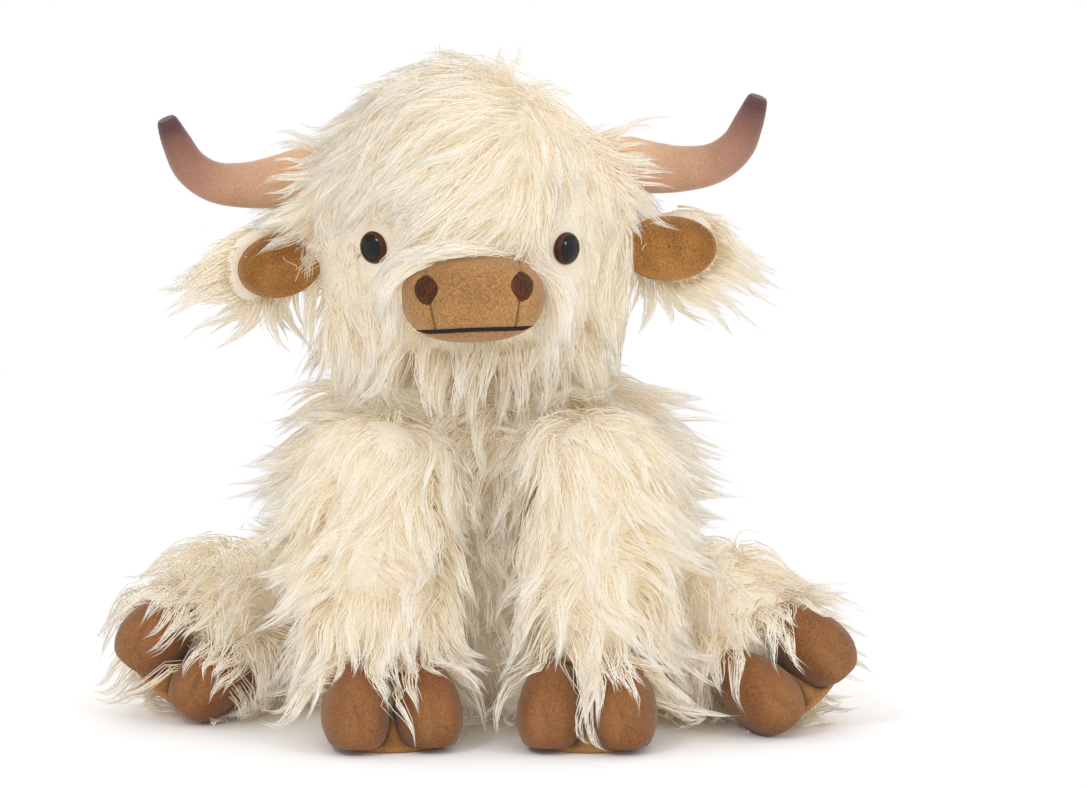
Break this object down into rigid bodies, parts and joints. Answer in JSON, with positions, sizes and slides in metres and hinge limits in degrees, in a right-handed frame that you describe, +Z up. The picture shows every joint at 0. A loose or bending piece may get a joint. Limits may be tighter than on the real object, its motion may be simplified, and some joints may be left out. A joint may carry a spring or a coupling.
{
  "type": "plush cow",
  "caption": "Seated long-haired plush cow with stuffed head, horns, ears, legs and tail that turn at sewn joints, and a flat weighted seat.",
  "frame": {"origin": "middle of the seat panel's flat underside, on the surface the toy sits on", "axes": "+Z up, -Y the way the cow faces, +X its own left side"},
  "size_m": [0.4035, 0.3214, 0.3549],
  "materials": {
    "coat": "long shaggy cream pile",
    "tan_plush": "short dense tan pile",
    "brown_plush": "short dense brown pile",
    "sole_plush": "short dense light brown pile",
    "horn_velour": "velour, tan shading to mauve brown",
    "nostril_plush": "short dark brown pile",
    "thread": "black embroidery thread",
    "polyester": "loose white fibre",
    "pouch_cloth": "plain weave",
    "eye_plastic": "polished, black with a dark brown rim",
    "washer_plastic": "moulded"
  },
  "bodies": {
    "torso": {"body_cover": "coat", "body_stuffing": "polyester", "seat_panel": "coat", "pellet_pouch": "pouch_cloth"},
    "neck": {"neck": "coat"},
    "head": {"head_cover": "coat", "head_stuffing": "polyester", "forelock": "coat", "eye_left": "eye_plastic", "eye_right": "eye_plastic", "eye_washer_left": "washer_plastic", "eye_washer_right": "washer_plastic", "muzzle_middle_panel": "tan_plush", "muzzle_left_panel": "tan_plush", "muzzle_right_panel": "tan_plush", "chin_panel": "tan_plush", "muzzle_stuffing": "polyester", "mouth_stitch": "thread", "nostril_left": "nostril_plush", "nostril_right": "nostril_plush"},
    "horn_left": {"horn_left": "horn_velour"},
    "horn_right": {"horn_right": "horn_velour"},
    "ear_left": {"ear_left_back": "coat", "ear_left_lining": "tan_plush"},
    "ear_right": {"ear_right_back": "coat", "ear_right_lining": "tan_plush"},
    "front_leg_left": {"front_leg_left_cover": "coat", "front_leg_left_stuffing": "polyester", "front_hoof_left_outer_toe": "brown_plush", "front_hoof_left_inner_toe": "brown_plush", "front_hoof_left_sole": "sole_plush"},
    "front_leg_right": {"front_leg_right_cover": "coat", "front_leg_right_stuffing": "polyester", "front_hoof_right_outer_toe": "brown_plush", "front_hoof_right_inner_toe": "brown_plush", "front_hoof_right_sole": "sole_plush"},
    "hind_leg_left": {"hind_leg_left_cover": "coat", "hind_leg_left_stuffing": "polyester", "hind_hoof_left_outer_toe": "brown_plush", "hind_hoof_left_inner_toe": "brown_plush", "hind_hoof_left_sole": "sole_plush"},
    "hind_leg_right": {"hind_leg_right_cover": "coat", "hind_leg_right_stuffing": "polyester", "hind_hoof_right_outer_toe": "brown_plush", "hind_hoof_right_inner_toe": "brown_plush", "hind_hoof_right_sole": "sole_plush"},
    "tail": {"tail_root": "coat", "tail_tuft": "coat"}
  },
  "joints": [
    {"name": "head_turn", "type": "hinge", "parent": "torso", "child": "neck", "pos_m": [-0.007, 0, 0.187], "axis": [0, 0, 1], "range_deg": [-18, 18], "stiffness_Nm_per_rad": 1.2},
    {"name": "head_nod", "type": "hinge", "parent": "neck", "child": "head", "pos_m": [-0.007, 0, 0.187], "axis": [0.999, 0.0436, 0], "range_deg": [-8, 8], "stiffness_Nm_per_rad": 1.6, "springref_deg": -1.72},
    {"name": "horn_left_flex", "type": "hinge", "parent": "head", "child": "horn_left", "pos_m": [0.07876, -0.01227, 0.29773], "axis": [-0.0436, 0.999, 0], "range_deg": [-5, 5], "stiffness_Nm_per_rad": 0.3},
    {"name": "horn_right_flex", "type": "hinge", "parent": "head", "child": "horn_right", "pos_m": [-0.10213, -0.02017, 0.29204], "axis": [-0.0436, 0.999, 0], "range_deg": [-5, 5], "stiffness_Nm_per_rad": 0.3},
    {"name": "ear_left_flap", "type": "hinge", "parent": "head", "child": "ear_left", "pos_m": [0.07918, -0.01225, 0.25572], "axis": [0.0261, 0.9997, 0.0022], "range_deg": [-12, 12], "stiffness_Nm_per_rad": 0.05},
    {"name": "ear_right_flap", "type": "hinge", "parent": "head", "child": "ear_right", "pos_m": [-0.09992, -0.02007, 0.25009], "axis": [-0.5073, 0.8616, -0.0147], "range_deg": [-12, 12], "stiffness_Nm_per_rad": 0.05},
    {"name": "front_leg_left_swing", "type": "hinge", "parent": "torso", "child": "front_leg_left", "pos_m": [0.05805, -0.08606, 0.138], "axis": [-0.9986, 0.0523, 0], "range_deg": [0, 45]},
    {"name": "front_leg_right_swing", "type": "hinge", "parent": "torso", "child": "front_leg_right", "pos_m": [-0.05809, -0.08612, 0.138], "axis": [-0.9903, -0.1392, 0], "range_deg": [0, 45]},
    {"name": "hind_leg_left_swing", "type": "hinge", "parent": "torso", "child": "hind_leg_left", "pos_m": [0.12801, -0.04659, 0.048], "axis": [-0.829, -0.5592, 0], "range_deg": [-10, 30]},
    {"name": "hind_leg_right_swing", "type": "hinge", "parent": "torso", "child": "hind_leg_right", "pos_m": [-0.13407, -0.01884, 0.048], "axis": [-0.8387, 0.5446, 0], "range_deg": [-10, 30]},
    {"name": "tail_swing", "type": "hinge", "parent": "torso", "child": "tail", "pos_m": [0, 0.08029, 0.05], "axis": [0, 0, 1], "range_deg": [-25, 25]}
  ]
}
